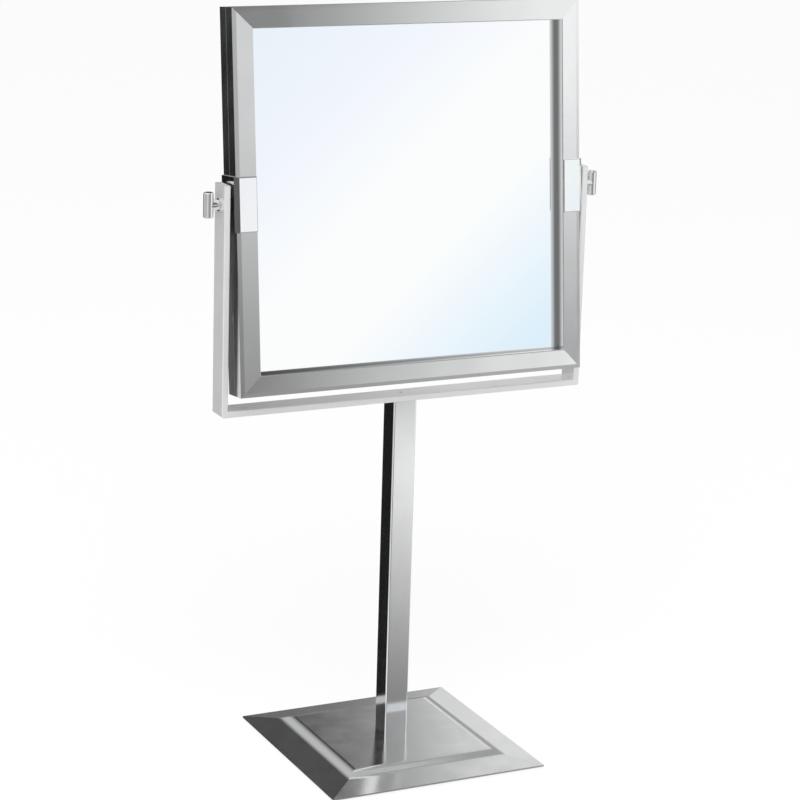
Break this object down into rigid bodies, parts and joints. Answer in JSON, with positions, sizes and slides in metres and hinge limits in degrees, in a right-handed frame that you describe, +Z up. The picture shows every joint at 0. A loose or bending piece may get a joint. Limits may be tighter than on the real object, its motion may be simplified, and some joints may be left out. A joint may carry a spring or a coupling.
{
  "type": "makeup mirror",
  "caption": "Free-standing square cosmetic mirror: a two-sided bevelled metal head that turns in a U-shaped yoke of flat bar, on a slim square post and a stepped square base.",
  "frame": {"origin": "on the table under the middle of the base", "axes": "+Z up along the post, the front mirror faces -Y, the pivot axis runs along X"},
  "size_m": [0.241, 0.132, 0.4307],
  "materials": {
    "base_chrome": "satin",
    "post_chrome": "satin",
    "yoke_chrome": "satin",
    "frame_chrome": "satin",
    "collar_chrome": "polished",
    "knob_chrome": "polished",
    "plain_mirror": "polished",
    "magnifying_mirror": "polished",
    "black_plastic": "moulded",
    "black_nylon": "moulded",
    "grey_foam": "soft",
    "black_felt": "felt",
    "zinc_steel": "zinc plated",
    "cast_iron": "as cast"
  },
  "bodies": {
    "stand": {"base_plate": "base_chrome", "ballast": "cast_iron", "bottom_cover": "zinc_steel", "felt_pad": "black_felt", "base_screw": "zinc_steel", "post": "post_chrome", "foot_plug": "zinc_steel", "head_plug": "zinc_steel", "yoke_screw": "zinc_steel", "yoke": "yoke_chrome", "friction_washer_left": "black_nylon", "friction_washer_right": "black_nylon", "clamp_washer_left": "zinc_steel", "clamp_washer_right": "zinc_steel"},
    "head": {"front_frame": "frame_chrome", "rear_frame": "frame_chrome", "front_glass": "plain_mirror", "rear_glass": "magnifying_mirror", "glass_carrier": "black_plastic", "foam_pad": "grey_foam", "pivot_collar_left": "collar_chrome", "pivot_collar_right": "collar_chrome", "pivot_stud_left": "zinc_steel", "pivot_stud_right": "zinc_steel"},
    "knob_left": {"knob_left": "knob_chrome"},
    "knob_right": {"knob_right": "knob_chrome"}
  },
  "joints": [
    {"name": "head_tilt", "type": "hinge", "parent": "stand", "child": "head", "pos_m": [0, 0, 0.32538], "axis": [1, 0, 0], "continuous": true},
    {"name": "knob_left_turn", "type": "hinge", "parent": "head", "child": "knob_left", "pos_m": [-0.1176, 0, 0.32538], "axis": [-1, 0, 0], "range_deg": [0, 270]},
    {"name": "knob_right_turn", "type": "hinge", "parent": "head", "child": "knob_right", "pos_m": [0.1176, 0, 0.32538], "axis": [1, 0, 0], "range_deg": [0, 270]}
  ]
}
